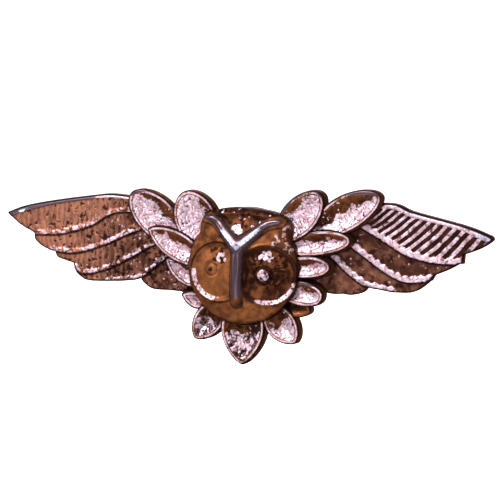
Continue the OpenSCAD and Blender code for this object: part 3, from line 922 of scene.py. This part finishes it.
# The silver below is a painted highlight on polished rolls, the gunmetal their dark patina with a painted
# reflection, and the crevice colour the dark of pits, patina and painted shade.
SILVER_HIGHLIGHT = srgb(205, 208, 232)
PATINA_AND_REFLECTION = srgb(88, 71, 78)
CREVICE = srgb(26, 11, 12)


def antique_copper(name, amber, brown):
    """Copper with bright marks of worn metal and painted highlight, dark hollows and painted shade, and
    polished rolls coloured gunmetal and silver as a painted reflection.
    """
    s = Shading(name)
    mottle = s.noise(0.0011, 4)
    grain = s.noise(0.00022, 3)
    warm = s.maths("ADD", s.mark("amber"), s.spread(mottle, 0.3, 0.7, -0.22, 0.22), clamp=True)
    field = s.mix(warm, brown, amber)
    rosy = s.mix(s.spread(s.noise(0.0007, 3), 0.38, 0.62), PINK, SALMON)
    rosy = s.mix(s.spread(s.noise(0.0003, 2), 0.54, 0.66, 0.0, 0.5), rosy, RED_DUST)
    # The bright mark, worn metal and painted highlight, turns pink, or silver on polished rolls.
    highlight_and_wear = s.spread(s.maths("ADD", s.mark("bright"), s.spread(grain, 0.3, 0.7, -0.16, 0.16)), 0.3, 0.72)
    steel = s.spread(s.mark("steel"), 0.25, 0.75)
    colour = s.mix(highlight_and_wear, field, s.mix(steel, rosy, SILVER_HIGHLIGHT))
    # The steel mark paints gunmetal, dark patina with a painted reflection, where nothing is bright.
    colour = s.mix(s.maths("MULTIPLY", steel, s.maths("SUBTRACT", 1.0, highlight_and_wear)), colour, PATINA_AND_REFLECTION)
    # The dark mark, pits, patina and painted shade, goes nearly black.
    colour = s.mix(s.spread(s.mark("dark"), 0.1, 0.9, 0.0, 0.93), colour, CREVICE)
    roughness = s.spread(s.maths("SUBTRACT", s.noise(0.0006, 3), s.maths("MULTIPLY", steel, 0.4)),
                         -0.2, 0.8, 0.26, 0.56)
    plain = s.maths("SUBTRACT", 1.0, s.maths("MULTIPLY", steel, 0.8))
    s.bump(s.maths("MULTIPLY", s.maths("ADD", grain, s.noise(0.0006, 4)), plain), 0.00005, 0.6)
    return s.finish(colour, roughness, Metallic=0.8, Specular_Tint=srgb(150, 110, 90))


def satin_metal(name, light, dark, brush, rough_low, rough_high):
    """Drawn or stamped metal with fine brush marks and a little tarnish."""
    s = Shading(name)
    tarnish = s.spread(s.noise(0.0024, 5), 0.42, 0.72)
    lines = s.noise(0.0004, 2, brush)
    colour = s.mix(s.maths("MULTIPLY", tarnish, 0.6), light, dark)
    colour = s.mix(s.spread(lines, 0.35, 0.75, 0.0, 0.28), colour, dark)
    s.bump(lines, 0.00002, 0.7)
    roughness = s.spread(s.maths("ADD", lines, tarnish), 0.4, 1.5, rough_low, rough_high)
    return s.finish(colour, roughness, Metallic=1.0)


# ---- pieces ----


def dress(piece, material):
    piece.data.materials.clear()
    piece.data.materials.append(material)


def front_piece(name, node, material, cell, outline, surface, lines, base, pockets=()):
    piece = relief(name, cell, outline, surface, lines, base, pockets)
    dress(piece, material)
    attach(piece, "badge")
    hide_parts(node)
    return piece


def head_cavity():
    """Rings of the hollow behind the face, from the open back up to its roof."""
    radius = HEAD_R - HEAD_WALL
    roof = DOME_R - HEAD_WALL
    rings = [(radius, RIM_TOP)]
    for r in np.linspace(radius, 0.4, 9):
        rings.append((r, DOME_CENTRE + math.sqrt(roof ** 2 - r ** 2)))
    return [(HEAD_AT, rings)]


def build_front():
    wing_copper = antique_copper("wing_copper", srgb(162, 106, 84), srgb(66, 38, 30))
    ruff_copper = antique_copper("ruff_copper", srgb(130, 77, 46), srgb(58, 30, 20))
    head_copper = antique_copper("head_copper", srgb(152, 92, 54), srgb(50, 25, 15))
    seats = [(middle, [(FOOT_R, 0), (FOOT_R, -FOOT_IN)]) for middle in FEET]
    front_piece("Wing_plate", "wing_plate", wing_copper, 0.11,
                wing_outline, wing_surface, WING_LINES, 0, seats)
    front_piece("Petal_ruff", "petal_ruff", ruff_copper, 0.1,
                ruff_outline, ruff_surface, ruff_lines(), PLATE_T)
    front_piece("Owl_head", "owl_head", head_copper, 0.085,
                head_outline, head_surface, head_line(), RIM_TOP, head_cavity())


def build_findings():
    """The CAD pieces on the back keep their shape and get broken edges and real metal."""
    brass = satin_metal("findings_brass", srgb(214, 178, 112), srgb(120, 84, 44), (1, 8, 1), 0.24, 0.5)
    steel = satin_metal("pin_steel", srgb(200, 200, 204), srgb(110, 108, 110), (0.25, 6, 6), 0.16, 0.4)
    for node, metal in (("hinge_bracket", brass), ("catch_body", brass), ("catch_rotor", brass),
                        ("hinge_rivet", steel), ("pin_stem", steel)):
        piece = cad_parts[node]
        if not piece.data.materials:
            piece.data.materials.append(None)
        for material_slot in piece.material_slots:
            material_slot.material = metal
        soften = piece.modifiers.new("broken_edges", "BEVEL")
        soften.width = 0.06 * MM
        soften.segments = 2
        soften.limit_method = "ANGLE"
        soften.angle_limit = math.radians(40)


# ---- stage, lights and camera ----

VIEW_AZIMUTH = math.radians(14)     # the camera stands this far round to the right
VIEW_ELEVATION = math.radians(4)
VIEW_ROLL = math.radians(1.5)
FRAME_W = 76.34 * MM                # width that the picture takes in at the badge
AIM_UP = 1.83 * MM                  # the picture's middle lies this far above the origin
LENS = 900.0
SENSOR = 36.0


def add_camera():
    sin_a, cos_a = math.sin(VIEW_AZIMUTH), math.cos(VIEW_AZIMUTH)
    sin_e, cos_e = math.sin(VIEW_ELEVATION), math.cos(VIEW_ELEVATION)
    right = Vector((cos_a, sin_a, 0))
    up = Vector((-sin_a * sin_e, cos_a * sin_e, cos_e))
    back = Vector((sin_a * cos_e, -cos_a * cos_e, sin_e))
    rolled_right = right * math.cos(VIEW_ROLL) + up * math.sin(VIEW_ROLL)
    rolled_up = up * math.cos(VIEW_ROLL) - right * math.sin(VIEW_ROLL)
    data = bpy.data.cameras.new("Camera")
    data.lens = LENS
    data.sensor_width = SENSOR
    data.clip_start = 0.01
    data.clip_end = 20
    camera = bpy.data.objects.new("Camera", data)
    place = rolled_up * AIM_UP + back * FRAME_W * LENS / SENSOR
    camera.matrix_world = Matrix((
        (rolled_right.x, rolled_up.x, back.x, place.x),
        (rolled_right.y, rolled_up.y, back.y, place.y),
        (rolled_right.z, rolled_up.z, back.z, place.z),
        (0, 0, 0, 1)))
    bpy.context.collection.objects.link(camera)
    bpy.context.scene.camera = camera


def add_sweep():
    """A floor that curves up into a backdrop, in plain white."""
    floor_z, reach, bend = CAD_BOX[0][2] - 0.03, 5.0, 0.4
    profile = [(-reach, floor_z), (reach - bend, floor_z)]
    for step in range(1, 13):
        angle = math.radians(90 * step / 12)
        profile.append((reach - bend + bend * math.sin(angle), floor_z + bend * (1 - math.cos(angle))))
    profile.append((reach, floor_z + reach))
    verts = [(side * reach, y, z) for y, z in profile for side in (-1, 1)]
    faces = [(2 * i, 2 * i + 1, 2 * i + 3, 2 * i + 2) for i in range(len(profile) - 1)]
    mesh = bpy.data.meshes.new("Sweep")
    mesh.from_pydata(verts, [], faces)
    mesh.shade_smooth()
    sweep = bpy.data.objects.new("Sweep", mesh)
    sweep.visible_glossy = False
    bpy.context.collection.objects.link(sweep)
    s = Shading("studio_white")
    white = (0.95, 0.95, 0.95, 1)
    s.put(s.shader.inputs["Emission Color"], white)
    s.put(s.shader.inputs["Emission Strength"], 1.0)
    dress(sweep, s.finish(white, 0.9))


def add_light(name, place, size, power, tint=(1, 1, 1)):
    """A soft square light that looks at the badge."""
    data = bpy.data.lights.new(name, "AREA")
    data.size = size
    data.energy = power
    data.color = tint
    light = bpy.data.objects.new(name, data)
    light.location = place
    light.rotation_euler = (-Vector(place)).to_track_quat("-Z", "Y").to_euler()
    bpy.context.collection.objects.link(light)


def add_studio():
    add_light("Key_light", (-0.12, -0.3, 0.42), 0.18, 4.0)
    add_light("Front_fill", (0.25, -0.55, 0.05), 0.3, 1.0)
    add_light("Low_fill", (0.0, -0.4, -0.35), 0.4, 1.6)
    add_light("Side_light", (-0.5, -0.2, 0.1), 0.2, 0.9, (0.9, 0.95, 1))
    add_light("Back_fill", (-0.15, 0.5, 0.2), 0.3, 1.6)
    world = bpy.data.worlds.new("Studio")
    world.use_nodes = True
    background = world.node_tree.nodes["Background"]
    background.inputs["Color"].default_value = (0.9, 0.92, 1, 1)
    background.inputs["Strength"].default_value = 0.3
    scene = bpy.context.scene
    scene.world = world
    scene.view_settings.view_transform = "Standard"


add_camera()
build_front()
build_findings()
add_sweep()
add_studio()
